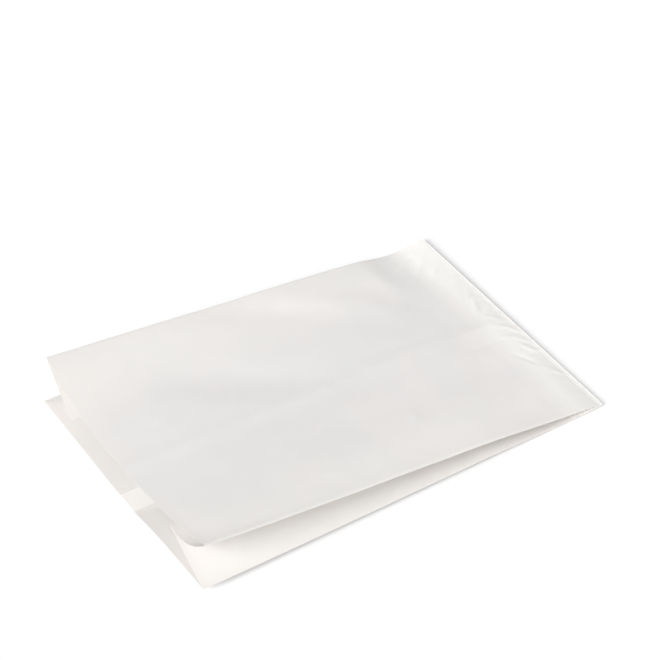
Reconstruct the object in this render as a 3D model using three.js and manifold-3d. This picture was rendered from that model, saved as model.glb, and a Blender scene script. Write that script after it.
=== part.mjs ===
import * as THREE from 'three';
import { mergeVertices } from 'three/addons/utils/BufferGeometryUtils.js';
import Module from 'manifold-3d';

// An empty bread bag of thin white paper, lying on its bottom panel with its mouth gaping.
// X runs along the bag to the closed end, Y across it to the far side, Z up. Units are mm.

// Driving dimensions
const PANEL_WIDTH = 200;
const BAG_LENGTH = 297;
const GUSSET_DEPTH = 43;
const PAPER = 0.1;
const LAP_WIDTH = 17;
const END_FOLD = 17.5;

// Layers that lie on each other keep this distance between their middles
const LAYER = 2.5 * PAPER;
const STACK = 3 * LAYER;
const HALF_WIDTH = PANEL_WIDTH / 2 - LAYER / 2;

// Below, run is 0 at the mouth and 1 at the closed end, and a pair of values is one at the mouth and one
// at the closed end. How far the bag stands open at the mouth, over its near fold, far fold and middle:
const NEAR_GAP = 0.81 * GUSSET_DEPTH;
const FAR_GAP = 0.92 * GUSSET_DEPTH;
const MIDDLE_GAP = 0.58 * GUSSET_DEPTH;

// The top panel swells a little above straight lines from the mouth to the closed end, with powers of run
// that say how late the swell dies out
const NEAR_SWELL = 0.08 * GUSSET_DEPTH;
const MIDDLE_SWELL = 0.105 * GUSSET_DEPTH;
const NEAR_SWELL_POWER = 16;
const MIDDLE_SWELL_POWER = 8;

// Powers of the sag across the top panel: the higher, the flatter its middle and the steeper its sides
const NEAR_SAG = [1.85, 2];
const FAR_SAG = [2.8, 2];

// Loose paper draws the mouth in: the far side of the top panel, and both sides of the bottom panel
const FAR_DRAW = 0.016 * PANEL_WIDTH;
const BOTTOM_DRAW = 0.011;

// Towards the closed end the far side is pinched flat between these two runs
const FAR_PINCH = [0.82, 0.96];

// Each gusset's centre fold lies at this share of the opening's height
const NEAR_FOLD_AT = [0.59, 0.5];
const FAR_FOLD_AT = [0.33, 0.5];

// Each half of a gusset bows by no more than this share of the opening that it crosses
const BOW_ROOM = 0.2;

// The edges of the bottom panel curl up from the floor, most at the mouth, and come down between the runs
// of CURL_ENDS. Its flat middle is a share of its half width, which grows over the runs up to FLAT_RUN.
const NEAR_CURL = 0.127 * GUSSET_DEPTH;
const FAR_CURL = 0.045 * GUSSET_DEPTH;
const CURL_LEFT = 0.35;
const CURL_ENDS = [0.7, 0.93];
const CURL_POWER = 3;
const FLAT = [0.17, 0.6];
const FLAT_RUN = 0.4;

// The closed end rides up on its folded strip
const RISE_LENGTH = 0.15 * BAG_LENGTH;
const RISE_POWER = 1.5;
const END_RISE = 21 * PAPER;
const END_TILT = 6.5 * PAPER;

// The seam under the bag shows through the top panel as a low ridge, a little askew
const RIDGE_HEIGHT = 6 * PAPER;
const RIDGE_WIDTH = 0.022 * PANEL_WIDTH;
const RIDGE_AT = [-0.025 * PANEL_WIDTH, 0.012 * PANEL_WIDTH];
const DETAIL_POWER = 8;

// Soft dents and swells of the top panel: their places as shares of the length and of the half width,
// half lengths along and across as shares of the bag's size, turn in degrees, and height
const DENTS = [
  { run: 0.3, side: 0.42, long: 0.2, wide: 0.05, turn: -22, rise: -8 * PAPER },
  { run: 0.42, side: 0.22, long: 0.17, wide: 0.045, turn: -25, rise: -7 * PAPER },
  { run: 0.52, side: 0.8, long: 0.14, wide: 0.045, turn: -26, rise: -8 * PAPER },
  { run: 0.62, side: -0.42, long: 0.25, wide: 0.085, turn: 5, rise: -12 * PAPER },
  { run: 0.85, side: -0.38, long: 0.1, wide: 0.06, turn: 14, rise: -6 * PAPER },
  { run: 0.7, side: 0.66, long: 0.155, wide: 0.05, turn: -34, rise: 8 * PAPER },
  { run: 0.32, side: -0.28, long: 0.235, wide: 0.07, turn: 2, rise: 7 * PAPER },
];

// The closing band, where the whole stack is one glued thickness: how far it lies over the top panel, how
// deep its folded strip hangs under the bag, and how far the strip laps into the bottom panel
const SEAL = 3;
const SEAL_OVER = 0.7 * PAPER;
const STRIP_DROP = 4 * PAPER;
const STRIP_GLUED = 0.4 * PAPER;

// How finely the shape is cut: sections along the bag, closer together towards the closed end by
// CROWDING, points across the panels as shares of the half width, and steps in folds and gusset halves
const SECTIONS = 32;
const CROWDING = 1.35;
const TOP_SHARES = [0.12, 0.28, 0.45, 0.62, 0.78, 0.91, 1];
const BOTTOM_SHARES = [0.27, 0.42, 0.6, 0.74, 0.88, 1];
const FOLD_STEPS = 3;
const LEG_STEPS = 5;
const STRIP_STEPS = 4;
const END_STEPS = 8;
const MITRE_LEAST = 0.6;

const { lerp: mix, clamp, smoothstep } = THREE.MathUtils;

// Height of the opening at one section
function gapNear(run) {
  return NEAR_GAP * (1 - run) + NEAR_SWELL * run * (1 - run ** NEAR_SWELL_POWER);
}

function gapFar(run) {
  return FAR_GAP * (1 - run) * (1 - smoothstep(run, ...FAR_PINCH));
}

function gapMiddle(run) {
  return MIDDLE_GAP * (1 - run) + MIDDLE_SWELL * run * (1 - run ** MIDDLE_SWELL_POWER);
}

function edgeCurl(y, run) {
  const most = y < 0 ? NEAR_CURL : FAR_CURL;
  return most * mix(1, CURL_LEFT, Math.sqrt(run)) * (1 - smoothstep(run, ...CURL_ENDS));
}

// Middle of the bottom panel's paper: flat on the floor, curling up to its side edges
function bottomHeight(y, run) {
  const flat = mix(...FLAT, clamp(run / FLAT_RUN, 0, 1)) * HALF_WIDTH;
  const out = clamp((Math.abs(y) - flat) / (HALF_WIDTH - flat), 0, 1);
  return PAPER / 2 + edgeCurl(y, run) * (1 - (1 - out) ** CURL_POWER);
}

function dents(s, run) {
  const heights = DENTS.map((dent) => {
    const along = (run - dent.run) * BAG_LENGTH;
    const across = s - dent.side * HALF_WIDTH;
    const turn = THREE.MathUtils.degToRad(dent.turn);
    const u = (along * Math.cos(turn) + across * Math.sin(turn)) / (dent.long * BAG_LENGTH);
    const v = (across * Math.cos(turn) - along * Math.sin(turn)) / (dent.wide * PANEL_WIDTH);
    return dent.rise * Math.exp(-u * u - v * v);
  });
  return heights.reduce((sum, height) => sum + height, 0);
}

// Middle of the top panel's paper, sagging between its two side folds
function topHeight(s, run) {
  const share = Math.abs(s) / HALF_WIDTH;
  const middle = gapMiddle(run);
  const edge = edgeCurl(s, run) + (s < 0 ? gapNear(run) : gapFar(run));
  const sag = mix(...(s < 0 ? NEAR_SAG : FAR_SAG), run);
  const ridge = (s - mix(...RIDGE_AT, run)) / RIDGE_WIDTH;
  const detail = (RIDGE_HEIGHT * Math.exp(-ridge * ridge) + dents(s, run)) * (1 - run ** DETAIL_POWER);
  return PAPER / 2 + STACK + middle + (edge - middle) * share ** sag + detail;
}

// Points across the top panel, as distances along the paper from its middle
function topStations(run) {
  const ridge = mix(...RIDGE_AT, run);
  const around = [-1.6, -0.8, 0, 0.8, 1.6].map((k) => ridge + k * RIDGE_WIDTH);
  const far = TOP_SHARES.map((k) => k * HALF_WIDTH);
  const near = far.map((s) => -s).reverse();
  return [...near, ...around, ...far];
}

// The top panel draws its sides in as it sags between them
function topPanel(run) {
  const along = topStations(run);
  const points = along.map((s) => ({ y: s, z: topHeight(s, run) }));
  const middle = (along.length - 1) / 2;
  const step = (from, to) => {
    const rise = points[to].z - points[from].z;
    const length = along[to] - along[from];
    points[to].y = points[from].y + Math.sign(length) * Math.sqrt(length ** 2 - rise ** 2);
  };
  for (let i = middle + 1; i < points.length; i++) step(i - 1, i);
  for (let i = middle - 1; i >= 0; i--) step(i + 1, i);
  const draw = (s) => FAR_DRAW * (1 - run) * (Math.max(s, 0) / HALF_WIDTH) ** 2;
  return points.map(({ y, z }, i) => ({ y: y - draw(along[i]), z }));
}

function bottomPanel(run) {
  const cut = PAPER / 2;
  const at = (y, raise, inner) => ({ y, z: bottomHeight(y, run) + raise, inner, flat: true });
  const single = PAPER / 2;
  const double = 1.5 * PAPER;
  const reach = HALF_WIDTH * (1 - BOTTOM_DRAW * (1 - run));
  const near = BOTTOM_SHARES.map((k) => at(-k * reach, 0, single)).reverse();
  const lap = [
    at(-LAP_WIDTH - PAPER, PAPER, single),
    at(-LAP_WIDTH, 0, double),
    at(-LAP_WIDTH / 2, 0, double),
    at(0, 0, double),
    at(cut, 0, single),
  ];
  const far = BOTTOM_SHARES.map((k) => at(k * reach, 0, single));
  return [...near, ...lap, ...far];
}

// One half of a gusset, from its outer fold to its centre fold, bowing where its paper is slack, as far
// as the room around it lets it
function gussetHalf(outer, centre, bowWay, room) {
  // A shallow arc is longer than its chord by 8/3 of its bow squared over the chord
  const chord = Math.hypot(outer.y - centre.y, outer.z - centre.z);
  const slack = Math.max(GUSSET_DEPTH - chord, 0);
  const bow = bowWay * Math.min(Math.sqrt(3 / 8 * chord * slack), room);
  const points = [];
  for (let i = 0; i <= LEG_STEPS; i++) {
    const k = i / LEG_STEPS;
    points.push({ y: mix(outer.y, centre.y, k), z: mix(outer.z, centre.z, k) + 4 * bow * k * (1 - k) });
  }
  return points;
}

// A crease is a half turn of the paper between two layers, from one height up or down to the next
function crease(y, zFrom, zTo, way) {
  const radius = Math.abs(zTo - zFrom) / 2;
  const centre = (zFrom + zTo) / 2;
  const points = [];
  for (let i = 1; i < FOLD_STEPS; i++) {
    const angle = Math.PI * i / FOLD_STEPS;
    points.push({ y: y + way * radius * Math.sin(angle), z: centre + (zFrom - centre) * Math.cos(angle) });
  }
  return points;
}

// The gusset of one side, listed from the bottom panel's fold up to the top panel's
function gusset(side, bottomFold, topFold, share) {
  const gap = topFold.z - bottomFold.z - STACK;
  const z = bottomFold.z + 1.5 * LAYER + share * gap;
  const reach = (fold, drop) => side * fold.y - Math.sqrt(GUSSET_DEPTH ** 2 - drop ** 2);
  const y = side * Math.max(
    reach(topFold, topFold.z - z - 1.5 * LAYER),
    reach(bottomFold, z - bottomFold.z - 1.5 * LAYER),
  );
  const room = BOW_ROOM * Math.max(gap, 0);
  const lower = gussetHalf({ y: bottomFold.y, z: bottomFold.z + LAYER }, { y, z: z - LAYER / 2 }, 1, room);
  const upper = gussetHalf({ y: topFold.y, z: topFold.z - LAYER }, { y, z: z + LAYER / 2 }, -1, room);
  return [
    ...crease(bottomFold.y, bottomFold.z, bottomFold.z + LAYER, side),
    ...lower,
    ...crease(y, z - LAYER / 2, z + LAYER / 2, -side),
    ...upper.reverse(),
    ...crease(topFold.y, topFold.z - LAYER, topFold.z, side),
  ];
}

// The paper's middle line around one section, counterclockwise as seen from the closed end
function sectionLine(run) {
  const bottom = bottomPanel(run);
  const top = topPanel(run);
  const farSide = gusset(1, bottom[bottom.length - 1], top[top.length - 1], mix(...FAR_FOLD_AT, run));
  const nearSide = gusset(-1, bottom[0], top[0], mix(...NEAR_FOLD_AT, run)).reverse();
  return [...bottom, ...farSide, ...top.reverse(), ...nearSide];
}

// Outer and inner skin of the paper at one section
function skins(run) {
  const line = sectionLine(run);
  return line.map((point, i) => {
    const before = line[(i + line.length - 1) % line.length];
    const after = line[(i + 1) % line.length];
    const a = new THREE.Vector2(point.y - before.y, point.z - before.z).normalize();
    const b = new THREE.Vector2(after.y - point.y, after.z - point.z).normalize();
    const along = a.clone().add(b).normalize();
    const out = point.flat ? new THREE.Vector2(0, -1) : new THREE.Vector2(along.y, -along.x);
    const half = PAPER / 2 / (point.flat ? 1 : Math.max(along.dot(b), MITRE_LEAST));
    const inner = point.inner ?? half;
    return {
      outer: [point.y + out.x * half, point.z + out.y * half],
      inner: [point.y - out.x * inner, point.z - out.y * inner],
    };
  });
}

// The last section lies inside the closing band, which starts where the bag has come down to its stack
function stations() {
  const places = [];
  for (let i = 0; i < SECTIONS; i++) {
    const run = 1 - (1 - i / (SECTIONS - 1)) ** CROWDING;
    places.push({ run, x: mix(-BAG_LENGTH / 2, BAG_LENGTH / 2 - SEAL, run) });
  }
  return [...places, { run: 1, x: BAG_LENGTH / 2 - SEAL / 2 }];
}

function tube() {
  const positions = [];
  const faces = [];
  const places = stations();
  const rings = places.map(({ run }) => skins(run));
  const count = rings[0].length;
  const last = places.length - 1;
  rings.forEach((ring, i) => {
    const { x } = places[i];
    ring.forEach(({ outer, inner }) => positions.push(x, ...outer, x, ...inner));
  });
  const outer = (i, j) => 2 * (i * count + j % count);
  const inner = (i, j) => outer(i, j) + 1;
  const quad = (a, b, c, d) => faces.push(a, b, c, a, c, d);
  for (let i = 0; i < last; i++) {
    for (let j = 0; j < count; j++) {
      quad(outer(i, j), outer(i, j + 1), outer(i + 1, j + 1), outer(i + 1, j));
      quad(inner(i, j), inner(i + 1, j), inner(i + 1, j + 1), inner(i, j + 1));
    }
  }
  for (let j = 0; j < count; j++) {
    quad(outer(0, j + 1), outer(0, j), inner(0, j), inner(0, j + 1));
    quad(outer(last, j), outer(last, j + 1), inner(last, j + 1), inner(last, j));
  }
  const geometry = new THREE.BufferGeometry();
  geometry.setAttribute('position', new THREE.Float32BufferAttribute(positions, 3));
  geometry.setIndex(faces);
  return geometry;
}

// The pressed stack at the closed end, with the strip that is turned under and glued
function closedEnd() {
  const end = BAG_LENGTH / 2;
  const top = PAPER / 2 + STACK + SEAL_OVER;
  const bottom = -STRIP_DROP;
  const radius = (top - bottom) / 2;
  const side = new THREE.Shape();
  side.moveTo(end - SEAL, top);
  side.lineTo(end - SEAL, STRIP_GLUED);
  for (let i = 1; i <= STRIP_STEPS; i++) {
    side.lineTo(mix(end - SEAL, end - END_FOLD, i / STRIP_STEPS), STRIP_GLUED);
  }
  for (let i = 0; i <= STRIP_STEPS; i++) {
    side.lineTo(mix(end - END_FOLD, end - radius, i / STRIP_STEPS), bottom);
  }
  side.absarc(end - radius, (top + bottom) / 2, radius, -Math.PI / 2, Math.PI / 2, false);
  const width = PANEL_WIDTH + 2 * PAPER;
  const geometry = new THREE.ExtrudeGeometry(side, { depth: width, steps: END_STEPS, bevelEnabled: false });
  return geometry.rotateX(Math.PI / 2).translate(0, width / 2, 0);
}

// Lays the straight bag down: raised paper draws back from the mouth, and the closed end rides up
function lay(x, y, z) {
  const up = clamp(1 - (BAG_LENGTH / 2 - x) / RISE_LENGTH, 0, 1) ** RISE_POWER;
  const rise = (END_RISE + END_TILT * y / HALF_WIDTH) * up;
  const drawn = z * z / (2 * BAG_LENGTH) * clamp((BAG_LENGTH / 2 - x) / BAG_LENGTH, 0, 1);
  return [x + drawn, y, z + rise];
}

const wasm = await Module();
wasm.setup();

function toSolid(geometry) {
  const bare = geometry.clone();
  bare.deleteAttribute('normal');
  bare.deleteAttribute('uv');
  const merged = mergeVertices(bare, 1e-5);
  return new wasm.Manifold(new wasm.Mesh({
    numProp: 3,
    vertProperties: merged.attributes.position.array,
    triVerts: new Uint32Array(merged.index.array),
  }));
}

function toGeometry(solid) {
  const mesh = solid.getMesh();
  const positions = [];
  for (let i = 0; i < mesh.vertProperties.length; i += mesh.numProp) {
    positions.push(...lay(...mesh.vertProperties.slice(i, i + 3)));
  }
  const geometry = new THREE.BufferGeometry();
  geometry.setAttribute('position', new THREE.Float32BufferAttribute(positions, 3));
  geometry.setIndex([...mesh.triVerts]);
  geometry.computeVertexNormals();
  return geometry;
}

function whitePaper() {
  return new THREE.MeshStandardMaterial({ color: 0xf3f1ee, roughness: 0.72, metalness: 0 });
}

const bag = new THREE.Mesh(toGeometry(toSolid(tube()).add(toSolid(closedEnd()))), whitePaper());
bag.name = 'paper_bag';

const part = new THREE.Group();
part.name = 'bread_bag';
part.add(bag);

export default part;
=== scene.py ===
import math

import bmesh
import bpy
import numpy as np
from mathutils import Matrix, Vector, noise


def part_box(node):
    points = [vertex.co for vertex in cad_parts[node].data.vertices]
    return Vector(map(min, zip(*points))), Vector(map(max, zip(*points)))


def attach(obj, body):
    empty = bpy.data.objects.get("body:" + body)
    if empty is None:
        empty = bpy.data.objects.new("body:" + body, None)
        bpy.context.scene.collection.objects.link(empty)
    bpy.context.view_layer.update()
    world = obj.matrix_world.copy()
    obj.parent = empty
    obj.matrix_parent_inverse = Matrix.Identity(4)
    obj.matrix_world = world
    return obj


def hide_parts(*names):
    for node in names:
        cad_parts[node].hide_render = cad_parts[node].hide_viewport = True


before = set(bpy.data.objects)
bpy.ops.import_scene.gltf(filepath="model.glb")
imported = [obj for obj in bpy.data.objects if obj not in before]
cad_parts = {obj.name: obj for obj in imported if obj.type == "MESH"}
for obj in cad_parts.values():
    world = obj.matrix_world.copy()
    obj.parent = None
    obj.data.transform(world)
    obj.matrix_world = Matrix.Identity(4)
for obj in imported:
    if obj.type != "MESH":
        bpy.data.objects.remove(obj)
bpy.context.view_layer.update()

# An empty bread bag of thin white paper. Sizes are in metres, and its length and width are the solid's.
MM = 0.001
LOW, HIGH = (Vector(corner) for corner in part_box("paper_bag"))
PAPER = 0.1 * MM
LENGTH = HIGH.x - LOW.x
WIDTH = HIGH.y - LOW.y - 2 * PAPER
GUSSET = 0.215 * WIDTH
LAP = 0.085 * WIDTH
END_FOLD = 0.0875 * WIDTH

# Layers that lie on each other keep this distance between their middles
LAYER = 2.5 * PAPER
STACK = 3 * LAYER
HALF = WIDTH / 2 - LAYER / 2

# Below, run is 0 at the mouth and 1 at the closed end, and a pair of values is one at the mouth and one
# at the closed end. How far the mouth stands open over its near fold, far fold and middle:
NEAR_GAP, FAR_GAP, MIDDLE_GAP = 0.81 * GUSSET, 0.92 * GUSSET, 0.58 * GUSSET

# The top panel swells above straight lines to the closed end, with powers of run for how late that ends
NEAR_SWELL, MIDDLE_SWELL = 0.08 * GUSSET, 0.105 * GUSSET
NEAR_SWELL_POWER, MIDDLE_SWELL_POWER = 16, 8

# Powers of the sag across the top panel, and the height of each gusset's centre fold in its opening
NEAR_SAG, FAR_SAG = (1.85, 2), (2.8, 2)
NEAR_FOLD_AT, FAR_FOLD_AT = (0.59, 0.5), (0.33, 0.5)

# The mouth is drawn in, the far side is pinched flat between two runs, and gussets bow by a share of their
# opening at most
FAR_DRAW, BOTTOM_DRAW = 0.016 * WIDTH, 0.011
FAR_PINCH = (0.82, 0.96)
BOW_ROOM = 0.2

# The bottom panel's edges curl up, and come down between two runs. Its flat middle is a share of its half
# width, which grows over the runs up to FLAT_RUN.
NEAR_CURL, FAR_CURL = 0.127 * GUSSET, 0.045 * GUSSET
CURL_LEFT, CURL_POWER = 0.35, 3
CURL_ENDS = (0.7, 0.93)
FLAT, FLAT_RUN = (0.17, 0.6), 0.4

# The closed end rides up on its folded strip, whose edge shows through the paper as a soft step
RISE_LENGTH, RISE_POWER = 0.15 * LENGTH, 1.5
END_RISE, END_TILT = 21 * PAPER, 6.5 * PAPER
STRIP_STEP, STRIP_STEP_WIDTH = 2 * PAPER, 9 * MM

# The seam under the bag shows through the top panel as a low ridge, a little askew. Dents and the droop of
# the panel's rolled edges die out at the closed end, with these powers of run.
RIDGE_HEIGHT, RIDGE_WIDTH = 8 * PAPER, 0.033 * WIDTH
RIDGE_AT = (-0.025 * WIDTH, 0.012 * WIDTH)
EDGE_ROLL, EDGE_DROOP = 2.2 * MM, 0.55 * MM
DETAIL_POWER, DROOP_POWER = 12, 8

# The closing band is one glued thickness: its height over the top panel, how far it has come down half way
# back and at its back, how deep its strip hangs, how far the strip laps into the bottom panel, and the
# length of its round end
SEAL = 3 * MM
SEAL_OVER, SEAL_HALF_DOWN, SEAL_DOWN = 0.9 * PAPER, 0.4 * PAPER, 2 * PAPER
STRIP_DROP, STRIP_GLUED, NOSE = 4 * PAPER, 0.4 * PAPER, 1.5 * PAPER

# How finely the mesh is cut: sections along the bag, closer together towards the closed end by CROWDING,
# points across the panels, and steps in the folds, the gusset halves and the closed end
SECTIONS, CROWDING = 144, 1.35
TOP_STEPS, ROLL_STEPS = 160, 5
NEAR_POINTS, LAP_POINTS, FAR_POINTS = 18, 8, 22
FOLD_STEPS, LEG_STEPS = 6, 12
END_STEPS, STRIP_STEPS = 260, 8
LAP_MARGIN = 2 * MM
MITRE_LEAST = 0.6
SHARP_FROM = math.radians(50)

# Dents, swells and small marks of the top panel: place along the bag and across it as shares, half lengths
# in mm, turn in degrees and height in mm
DENTS = [
    (0.30, 0.42, 60, 17, -22, -1.0),
    (0.42, 0.22, 50, 14, -25, -0.9),
    (0.52, 0.80, 42, 12, -26, -0.9),
    (0.62, -0.42, 75, 17, 5, -1.8),
    (0.85, -0.38, 30, 12, 14, -0.8),
    (0.70, 0.66, 46, 14, -34, 0.8),
    (0.32, -0.28, 70, 14, 2, 0.9),
    (0.86, 0.62, 26, 11, -50, 0.6),
    (0.12, -0.93, 34, 5, 0, -0.5),
    (0.51, -0.02, 3, 2, 30, 0.3),
    (0.62, -0.54, 5, 2, 60, 0.3),
    (0.36, -0.76, 4, 2, -40, 0.25),
    (0.39, 0.95, 4, 2, 20, 0.25),
    (0.78, -0.1, 20, 2.6, 7, 0.16),
    (0.84, -0.19, 16, 2.4, 12, 0.16),
    (0.88, 0.13, 12, 2.2, -12, 0.14),
    (0.72, 0.1, 18, 2.6, -6, -0.14),
]

# The top panel's fine unevenness: lengths along and across in mm, layer of the noise and height in mm
WAVES = [
    (46, 24, 1.7, 0.3),
    (17, 13, 5.1, 0.105),
    (12, 4, 8.3, 0.042),
]

# Short wrinkles where the closed end was pressed: mm from the closed end and from the middle, half lengths
# in mm, turn in degrees and height in mm
PUCKERS = [
    (9, 34, 6, 1.8, -50, 0.24),
    (5, 27, 6, 1.8, -14, 0.26),
    (12, 22, 8, 2.0, -62, 0.34),
    (6, 15, 7, 1.8, -30, 0.34),
    (10, 6, 6, 1.8, 40, 0.24),
    (5, 0, 6, 1.8, 12, 0.26),
    (9, -6, 8, 1.9, 34, 0.32),
    (4, -13, 6, 1.8, 58, 0.3),
    (10, -18, 7, 2.1, 22, 0.34),
    (5, -24, 5, 1.8, 48, 0.3),
    (8, -31, 7, 1.9, 66, 0.34),
    (3, -37, 5, 1.8, 30, 0.26),
    (15, -44, 12, 2.0, 66, -0.42),
    (12, -51, 11, 2.1, 58, 0.36),
    (7, -60, 6, 2.0, 36, 0.22),
    (26, 84, 14, 1.9, -28, 0.34),
    (20, 75, 11, 1.9, -44, 0.32),
    (34, 90, 12, 1.8, -14, 0.26),
    (14, 66, 8, 2.0, -36, 0.26),
    (7, 52, 6, 1.9, -30, 0.22),
]

# Paper colours: one ply, cooler and warmer, at two stops of a cloudy noise, and a colour for several plies
# together, partly their own whiteness and partly painted light, whose warm cast is a painted warm highlight
ONE_PLY = [(0.3, (0.812, 0.811, 0.808, 1)), (0.7, (0.862, 0.832, 0.812, 1))]
PLY_AND_PAINTED_LIGHT_COLOUR = (0.995, 0.957, 0.914, 1)

# Where the layered colour goes: from and to the strip's edge, gusset depths from the side folds, and heights
# from which the bottom panel gives way to the gussets. Then how much of the layered colour each place has:
# at the gussets it is painted light, lighter towards the side folds, and on the bottom panel away from the
# lap it is painted light as well.
STRIP_EDGE = (LENGTH / 2 - END_FOLD - 14 * MM, LENGTH / 2 - END_FOLD + 8 * MM)
GUSSET_EDGE = (HALF - 1.35 * GUSSET, HALF - 0.5 * GUSSET)
BOTTOM_EDGE = (1 * MM, 8 * MM)
GUSSET_PAINTED_LIGHT, BOTTOM_PAINTED_LIGHT = 0.45, 0.22

# A mix node's sockets, which share their names: factor, and the two values and result as numbers or colours
MIX_FACTOR, MIX_A, MIX_B, MIX_RESULT = 0, 2, 3, 0
MIX_COLOUR_A, MIX_COLOUR_B, MIX_COLOUR_RESULT = 6, 7, 2

# The photograph's camera, in the bag's own frame
CAMERA_PLACE = Vector((-581.6, -891.3, 991.8)) * MM
CAMERA_DOWN = math.radians(41.1)
CAMERA_TURN = math.radians(33.38)
CAMERA_LENS, CAMERA_SENSOR = 123.82, 36

# A soft light from the mouth's side, an even light all round, and a pale floor that the camera sees as white
SUN_FROM = Vector((-1.5, -0.4, 0.95))
SUN_SPREAD, SUN_POWER = math.radians(35), 2.76
WORLD_LIGHT = 0.54
FLOOR_REACH, FLOOR_DROP = 3.0, 0.05 * MM
FLOOR_COLOUR, FLOOR_GLOW = (0.86, 0.86, 0.86, 1), 0.18
WHITE = (1, 1, 1, 1)


def mix(a, b, k):
    return a + (b - a) * k


def clamp(k):
    return min(max(k, 0.0), 1.0)


def smoothstep(k, low, high):
    k = clamp((k - low) / (high - low))
    return k * k * (3 - 2 * k)


def bell(along, across, long, wide, turn):
    """A smooth bump of height one, from its half lengths and its turn in degrees."""
    c, n = math.cos(math.radians(turn)), math.sin(math.radians(turn))
    u, v = (along * c + across * n) / long, (across * c - along * n) / wide
    return np.exp(-u * u - v * v)


# Height of the opening at one section
def gap_near(run):
    return NEAR_GAP * (1 - run) + NEAR_SWELL * run * (1 - run ** NEAR_SWELL_POWER)


def gap_far(run):
    return FAR_GAP * (1 - run) * (1 - smoothstep(run, *FAR_PINCH))


def gap_middle(run):
    return MIDDLE_GAP * (1 - run) + MIDDLE_SWELL * run * (1 - run ** MIDDLE_SWELL_POWER)


def edge_curl(y, run):
    most = NEAR_CURL if y < 0 else FAR_CURL
    return most * mix(1, CURL_LEFT, math.sqrt(run)) * (1 - smoothstep(run, *CURL_ENDS))


def bottom_height(y, run):
    """Middle of the bottom panel's paper, flat on the floor and curling up to its side edges."""
    flat = mix(*FLAT, clamp(run / FLAT_RUN)) * HALF
    out = clamp((abs(y) - flat) / (HALF - flat))
    return PAPER / 2 + edge_curl(y, run) * (1 - (1 - out) ** CURL_POWER)


def dents(s, run):
    """Height of the top panel's dents, swells, marks and fine unevenness."""
    x, y = run * LENGTH / MM, s / MM
    height = 0.0
    for at_run, at_side, long, wide, turn, rise in DENTS:
        height += rise * bell(x - at_run * LENGTH / MM, y - at_side * HALF / MM, long, wide, turn)
    for long, wide, layer, rise in WAVES:
        height += rise * noise.noise(Vector((x / long, y / wide, layer)))
    return height * MM


def top_height(s, run):
    """Middle of the top panel's paper, sagging between its two side folds."""
    share = abs(s) / HALF
    gap = gap_near(run) if s < 0 else gap_far(run)
    sag = mix(*(NEAR_SAG if s < 0 else FAR_SAG), run)
    middle = gap_middle(run)
    opening = middle + (edge_curl(s, run) + gap - middle) * share ** sag
    ridge = (s - mix(*RIDGE_AT, run)) / RIDGE_WIDTH
    detail = RIDGE_HEIGHT * math.exp(-ridge * ridge) + dents(s, run)
    roll = clamp((abs(s) - HALF + EDGE_ROLL) / EDGE_ROLL)
    droop = EDGE_DROOP * roll * roll * (1 - run ** DROOP_POWER)
    return PAPER / 2 + STACK + opening + detail * (1 - run ** DETAIL_POWER) - droop


def top_panel(run):
    """The top panel's points across one section. It draws its sides in as it sags between them."""
    edge = HALF - EDGE_ROLL
    sides = np.linspace(edge, HALF, ROLL_STEPS + 1)[1:]
    along = np.concatenate((-sides[::-1], np.linspace(-edge, edge, TOP_STEPS + 1), sides))
    heights = [top_height(s, run) for s in along]
    points = [None] * len(along)
    middle = len(along) // 2
    points[middle] = (along[middle], heights[middle])
    for way in (1, -1):
        i = middle + way
        while 0 <= i < len(along):
            rise = heights[i] - heights[i - way]
            step = math.sqrt((along[i] - along[i - way]) ** 2 - rise ** 2)
            points[i] = (points[i - way][0] + way * step, heights[i])
            i += way
    draw = [FAR_DRAW * (1 - run) * (max(s, 0) / HALF) ** 2 for s in along]
    return [(y - pull, z) for (y, z), pull in zip(points, draw)]


def bottom_panel(run):
    """The bottom panel's points across one section, with how far the inner skin lies from each."""
    single, double = PAPER / 2, 1.5 * PAPER
    reach = HALF * (1 - BOTTOM_DRAW * (1 - run))
    near = [(y, bottom_height(y, run), single) for y in np.linspace(-reach, -LAP - LAP_MARGIN, NEAR_POINTS)]
    lap = [(-LAP - PAPER, bottom_height(-LAP, run) + PAPER, single)]
    lap += [(y, bottom_height(y, run), double) for y in np.linspace(-LAP, 0, LAP_POINTS)]
    far = [(y, bottom_height(y, run), single) for y in np.linspace(PAPER / 2, reach, FAR_POINTS)]
    return near + lap + far


def gusset_half(outer, centre, bow_way, room):
    """One half of a gusset, bowing where its paper is slack, as far as the room around it lets it."""
    # A shallow arc is longer than its chord by 8/3 of its bow squared over the chord
    chord = math.dist(outer, centre)
    bow = bow_way * min(math.sqrt(3 / 8 * chord * max(GUSSET - chord, 0)), room)
    points = []
    for i in range(LEG_STEPS + 1):
        k = i / LEG_STEPS
        points.append((mix(outer[0], centre[0], k), mix(outer[1], centre[1], k) + 4 * bow * k * (1 - k)))
    return points


def crease(y, z_from, z_to, way):
    """A half turn of the paper between two layers, from one height up or down to the next."""
    radius, centre = abs(z_to - z_from) / 2, (z_from + z_to) / 2
    angles = [math.pi * i / FOLD_STEPS for i in range(1, FOLD_STEPS)]
    return [(y + way * radius * math.sin(a), centre + (z_from - centre) * math.cos(a)) for a in angles]


def gusset(side, low, high, share):
    """The gusset of one side, listed from the bottom panel's fold up to the top panel's."""
    gap = high[1] - low[1] - STACK
    z = low[1] + 1.5 * LAYER + share * gap
    drops = (high[1] - z - 1.5 * LAYER, z - low[1] - 1.5 * LAYER)
    reaches = [side * fold[0] - math.sqrt(GUSSET ** 2 - drop ** 2) for fold, drop in zip((high, low), drops)]
    y = side * max(reaches)
    room = BOW_ROOM * max(gap, 0)
    lower = gusset_half((low[0], low[1] + LAYER), (y, z - LAYER / 2), 1, room)
    upper = gusset_half((high[0], high[1] - LAYER), (y, z + LAYER / 2), -1, room)[::-1]
    return (
        crease(low[0], low[1], low[1] + LAYER, side)
        + lower
        + crease(y, z - LAYER / 2, z + LAYER / 2, -side)
        + upper
        + crease(high[0], high[1] - LAYER, high[1], side)
    )


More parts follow.
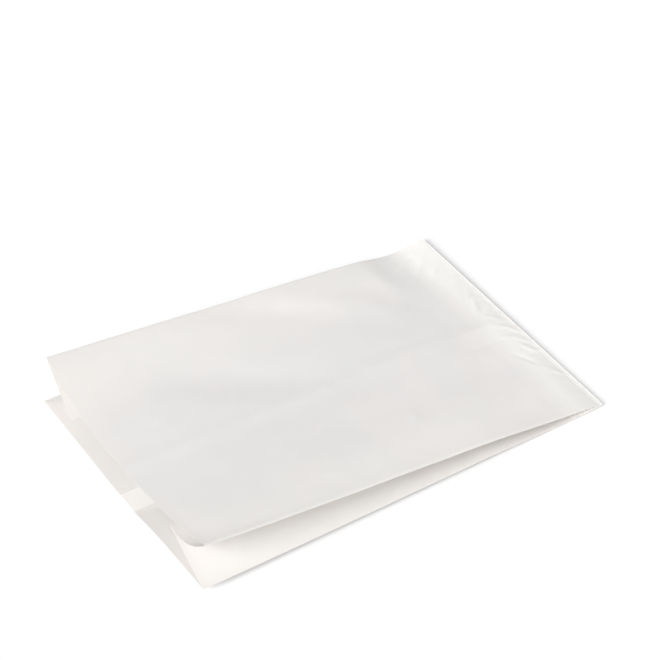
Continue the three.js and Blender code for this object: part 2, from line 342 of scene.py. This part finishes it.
def section(run):
    """The paper's middle line, with how far its inner skin lies from it, for one section."""
    bottom, top = bottom_panel(run), top_panel(run)
    far = gusset(1, bottom[-1][:2], top[-1], mix(*FAR_FOLD_AT, run))
    near = gusset(-1, bottom[0][:2], top[0], mix(*NEAR_FOLD_AT, run))[::-1]
    line = [(y, z) for y, z, _ in bottom] + far + top[::-1] + near
    inner = [half for _, _, half in bottom] + [PAPER / 2] * (len(line) - len(bottom))
    return np.array(line), np.array(inner), len(bottom)


def skins(run):
    """The paper's outer and inner skin at one section."""
    line, inner, flat = section(run)
    before, after = line - np.roll(line, 1, 0), np.roll(line, -1, 0) - line
    before /= np.linalg.norm(before, axis=1)[:, None]
    after /= np.linalg.norm(after, axis=1)[:, None]
    along = before + after
    along /= np.linalg.norm(along, axis=1)[:, None]
    out = np.column_stack((along[:, 1], -along[:, 0]))
    stretch = np.maximum((along * after).sum(1), MITRE_LEAST)
    out[:flat], stretch[:flat] = (0, -1), 1
    return line + out * (PAPER / 2 / stretch)[:, None], line - out * (inner / stretch)[:, None]


def lay(points):
    """Raised paper draws back from the mouth, and the closed end rides up on its folded strip."""
    x, y, z = points.T
    back = (LENGTH / 2 - x) / LENGTH
    up = np.clip(1 - back * LENGTH / RISE_LENGTH, 0, 1) ** RISE_POWER
    drawn = z * z / (2 * LENGTH) * np.clip(back, 0, 1)
    strip = np.clip((x - LENGTH / 2 + END_FOLD) / STRIP_STEP_WIDTH + 0.5, 0, 1)
    strip = STRIP_STEP * strip * strip * (3 - 2 * strip)
    rise = (END_RISE + END_TILT * y / HALF) * up + strip
    for at_end, at_side, long, wide, turn, height in PUCKERS:
        along, across = LENGTH / 2 - x - at_end * MM, y - at_side * MM
        rise += height * MM * bell(along, across, long * MM, wide * MM, turn)
    return np.column_stack((x + drawn, y, z + rise))


def tube():
    """The folded sheet from the mouth to the closing band, both skins and both ends."""
    runs = 1 - (1 - np.linspace(0, 1, SECTIONS - 1)) ** CROWDING
    places = [(run, mix(-LENGTH / 2, LENGTH / 2 - SEAL, run)) for run in runs]
    places.append((1.0, (LENGTH - SEAL) / 2))
    rows = []
    for run, place in places:
        outer, inner = skins(run)
        x = np.full(len(outer), place)
        rows.append(np.stack((np.column_stack((x, outer)), np.column_stack((x, inner))), 1).reshape(-1, 3))
    count = len(rows[0]) // 2
    last = SECTIONS - 1

    def at(i, j, skin):
        return 2 * (i * count + j % count) + skin

    i, j = np.meshgrid(np.arange(last), np.arange(count), indexing="ij")
    outer = np.stack((at(i, j, 0), at(i, j + 1, 0), at(i + 1, j + 1, 0), at(i + 1, j, 0)), -1)
    inner = np.stack((at(i, j, 1), at(i + 1, j, 1), at(i + 1, j + 1, 1), at(i, j + 1, 1)), -1)
    j = np.arange(count)
    mouth = np.stack((at(0, j + 1, 0), at(0, j, 0), at(0, j, 1), at(0, j + 1, 1)), -1)
    back = np.stack((at(last, j, 0), at(last, j + 1, 0), at(last, j + 1, 1), at(last, j, 1)), -1)
    faces = np.concatenate((outer.reshape(-1, 4), inner.reshape(-1, 4), mouth, back))
    return np.concatenate(rows), faces.tolist()


def closed_end():
    """The pressed stack at the closed end with its strip turned under, as a swept outline."""
    end, low, high = LENGTH / 2, -STRIP_DROP, PAPER / 2 + STACK + SEAL_OVER
    radius = (high - low) / 2
    outline = [(end - NOSE, high), (mix(end - SEAL, end - NOSE, 0.5), high - SEAL_HALF_DOWN)]
    outline += [(end - SEAL, high - SEAL_DOWN), (end - SEAL, STRIP_GLUED)]
    shares = [k / STRIP_STEPS for k in range(STRIP_STEPS + 1)]
    outline += [(mix(end - SEAL, end - END_FOLD, k), STRIP_GLUED) for k in shares[1:]]
    outline += [(mix(end - END_FOLD, end - NOSE, k), low) for k in shares]
    turn = [math.pi * (k - 0.5) for k in shares[1:]]
    outline += [(end - NOSE + NOSE * math.cos(a), (high + low) / 2 + radius * math.sin(a)) for a in turn]
    sides = np.linspace(-WIDTH / 2 - PAPER, WIDTH / 2 + PAPER, END_STEPS + 1)
    points = np.array([(x, y, z) for y in sides for x, z in outline])
    count = len(outline)
    faces = [
        (i * count + j, i * count + (j + 1) % count, (i + 1) * count + (j + 1) % count, (i + 1) * count + j)
        for i in range(END_STEPS)
        for j in range(count)
    ]
    caps = [tuple(range(count))[::-1], tuple(END_STEPS * count + j for j in range(count))]
    return points, faces + caps


def bag_mesh():
    points, faces = tube()
    end_points, end_faces = closed_end()
    faces += [[len(points) + k for k in face] for face in end_faces]
    mesh = bpy.data.meshes.new("bag_paper")
    mesh.from_pydata(lay(np.concatenate((points, end_points))).tolist(), [], faces)
    shell = bmesh.new()
    shell.from_mesh(mesh)
    bmesh.ops.recalc_face_normals(shell, faces=shell.faces)
    shell.to_mesh(mesh)
    shell.free()
    mesh.shade_smooth()
    mesh.set_sharp_from_angle(angle=SHARP_FROM)
    return mesh


# Node trees: a value given to a socket is a plain value, or another socket to link
def put(tree, socket, value):
    if isinstance(value, bpy.types.NodeSocket):
        tree.links.new(value, socket)
    else:
        socket.default_value = value


def node(tree, kind, **values):
    """A new node, with its sockets and settings given by name."""
    made = tree.nodes.new(kind)
    for name, value in values.items():
        if name in made.inputs:
            put(tree, made.inputs[name], value)
        else:
            setattr(made, name, value)
    return made


def math_node(tree, operation, *values, **settings):
    made = node(tree, "ShaderNodeMath", operation=operation, **settings)
    for socket, value in zip(made.inputs, values):
        put(tree, socket, value)
    return made.outputs[0]


def map_range(tree, value, ends, at_low=0.0, at_high=1.0):
    made = node(tree, "ShaderNodeMapRange", Value=value)
    for name, number in zip(("From Min", "From Max", "To Min", "To Max"), (*ends, at_low, at_high)):
        put(tree, made.inputs[name], number)
    return made.outputs["Result"]


def ply_and_painted_light_share(tree, place):
    """How much of the layered colour shows: most at the closed strip, where plies lie together and painted
    light brightens it further, and at the lap; some as painted light at the gussets and the rest of the
    bottom panel.
    """
    x, y, z = node(tree, "ShaderNodeSeparateXYZ", Vector=place).outputs
    # The closed strip: plies folded under it make it whiter, and painted light brightens it further
    strip = map_range(tree, x, STRIP_EDGE)
    # Painted light: the top panel and gussets lighter towards the side folds
    gussets = map_range(tree, math_node(tree, "ABSOLUTE", y), GUSSET_EDGE, 0, GUSSET_PAINTED_LIGHT)
    lap = math_node(tree, "COMPARE", y, -LAP / 2, LAP / 2)
    # Painted light: the bottom panel lighter all over; only the lap has two real plies
    bottom = math_node(tree, "MAXIMUM", lap, BOTTOM_PAINTED_LIGHT)
    by_height = node(tree, "ShaderNodeMix")
    put(tree, by_height.inputs[MIX_FACTOR], map_range(tree, z, BOTTOM_EDGE, 1, 0))
    put(tree, by_height.inputs[MIX_A], gussets)
    put(tree, by_height.inputs[MIX_B], bottom)
    return math_node(tree, "ADD", strip, by_height.outputs[MIX_RESULT], use_clamp=True)


def white_paper():
    """Thin bleached paper: cloudy in colour, faintly fibrous, and brighter where plies lie together, with
    painted light that brightens and warms it at the closed strip, the gussets and the bottom panel.
    """
    material = bpy.data.materials.new("white_paper")
    material.use_nodes = True
    tree = material.node_tree
    shader = tree.nodes["Principled BSDF"]
    shader.inputs["Roughness"].default_value = 0.62
    shader.inputs["Specular IOR Level"].default_value = 0.25
    shader.inputs["Subsurface Weight"].default_value = 0.5
    shader.inputs["Subsurface Radius"].default_value = (1.0, 1.0, 1.0)
    shader.inputs["Subsurface Scale"].default_value = PAPER
    place = node(tree, "ShaderNodeTexCoord").outputs["Object"]
    cloud = node(tree, "ShaderNodeTexNoise", Vector=place, Scale=13.0, Detail=7.0, Roughness=0.66)
    one_ply = node(tree, "ShaderNodeValToRGB", Fac=cloud.outputs["Fac"])
    for stop, (position, tint) in zip(one_ply.color_ramp.elements, ONE_PLY):
        stop.position, stop.color = position, tint
    colour = node(tree, "ShaderNodeMix", data_type="RGBA")
    put(tree, colour.inputs[MIX_FACTOR], ply_and_painted_light_share(tree, place))
    put(tree, colour.inputs[MIX_COLOUR_A], one_ply.outputs["Color"])
    put(tree, colour.inputs[MIX_COLOUR_B], PLY_AND_PAINTED_LIGHT_COLOUR)
    put(tree, shader.inputs["Base Color"], colour.outputs[MIX_COLOUR_RESULT])
    fibre = node(tree, "ShaderNodeTexNoise", Vector=place, Scale=900.0, Detail=4.0)
    bump = node(tree, "ShaderNodeBump", Strength=0.25, Distance=0.1 * MM, Height=fibre.outputs["Fac"])
    put(tree, shader.inputs["Normal"], bump.outputs["Normal"])
    return material


def background_rays(tree):
    """One for rays that see the background, straight, in a gloss or through glass, and else zero."""
    seen = node(tree, "ShaderNodeLightPath").outputs
    straight = math_node(tree, "MAXIMUM", seen["Is Camera Ray"], seen["Is Glossy Ray"])
    return math_node(tree, "MAXIMUM", straight, seen["Is Transmission Ray"])


# The floor, the camera and the light
def add_floor():
    reach = FLOOR_REACH
    corners = [(-reach, -reach, 0), (reach, -reach, 0), (reach, reach, 0), (-reach, reach, 0)]
    mesh = bpy.data.meshes.new("floor")
    mesh.from_pydata(corners, [], [(0, 1, 2, 3)])
    floor = bpy.data.objects.new("floor", mesh)
    floor.location.z = -FLOOR_DROP
    bpy.context.scene.collection.objects.link(floor)
    material = bpy.data.materials.new("floor")
    material.use_nodes = True
    tree = material.node_tree
    shader = tree.nodes["Principled BSDF"]
    shader.inputs["Base Color"].default_value = FLOOR_COLOUR
    shader.inputs["Roughness"].default_value = 1.0
    shader.inputs["Specular IOR Level"].default_value = 0.0
    strength = math_node(tree, "MULTIPLY", background_rays(tree), FLOOR_GLOW)
    glow = node(tree, "ShaderNodeEmission", Color=WHITE, Strength=strength)
    both = node(tree, "ShaderNodeAddShader")
    put(tree, both.inputs[0], shader.outputs[0])
    put(tree, both.inputs[1], glow.outputs[0])
    put(tree, tree.nodes["Material Output"].inputs["Surface"], both.outputs[0])
    mesh.materials.append(material)


def add_camera():
    ahead = Vector((
        math.sin(CAMERA_TURN) * math.cos(CAMERA_DOWN),
        math.cos(CAMERA_TURN) * math.cos(CAMERA_DOWN),
        -math.sin(CAMERA_DOWN),
    ))
    right = Vector((math.cos(CAMERA_TURN), -math.sin(CAMERA_TURN), 0))
    up = right.cross(ahead)
    data = bpy.data.cameras.new("camera")
    data.lens, data.sensor_width = CAMERA_LENS, CAMERA_SENSOR
    camera = bpy.data.objects.new("camera", data)
    bpy.context.scene.collection.objects.link(camera)
    turn = Matrix((right, up, -ahead)).transposed().to_4x4()
    camera.matrix_world = Matrix.Translation(CAMERA_PLACE) @ turn
    bpy.context.scene.camera = camera


def add_sun():
    data = bpy.data.lights.new("key", "SUN")
    data.angle, data.energy = SUN_SPREAD, SUN_POWER
    lamp = bpy.data.objects.new("key", data)
    lamp.location = SUN_FROM
    lamp.rotation_euler = (-SUN_FROM).to_track_quat("-Z", "Y").to_euler()
    bpy.context.scene.collection.objects.link(lamp)


def add_world():
    world = bpy.data.worlds.new("world")
    bpy.context.scene.world = world
    world.use_nodes = True
    tree = world.node_tree
    sky = tree.nodes["Background"]
    sky.inputs["Color"].default_value = WHITE
    sky.inputs["Strength"].default_value = WORLD_LIGHT
    white = node(tree, "ShaderNodeBackground", Color=WHITE, Strength=1.0)
    choose = node(tree, "ShaderNodeMixShader", Fac=background_rays(tree))
    put(tree, choose.inputs[1], sky.outputs[0])
    put(tree, choose.inputs[2], white.outputs[0])
    put(tree, tree.nodes["World Output"].inputs["Surface"], choose.outputs[0])


bpy.context.scene.view_settings.view_transform = "Standard"
add_camera()
bag = bpy.data.objects.new("bag_paper", bag_mesh())
bpy.context.scene.collection.objects.link(bag)
bag.data.materials.append(white_paper())
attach(bag, "root")
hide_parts("paper_bag")
add_floor()
add_world()
add_sun()
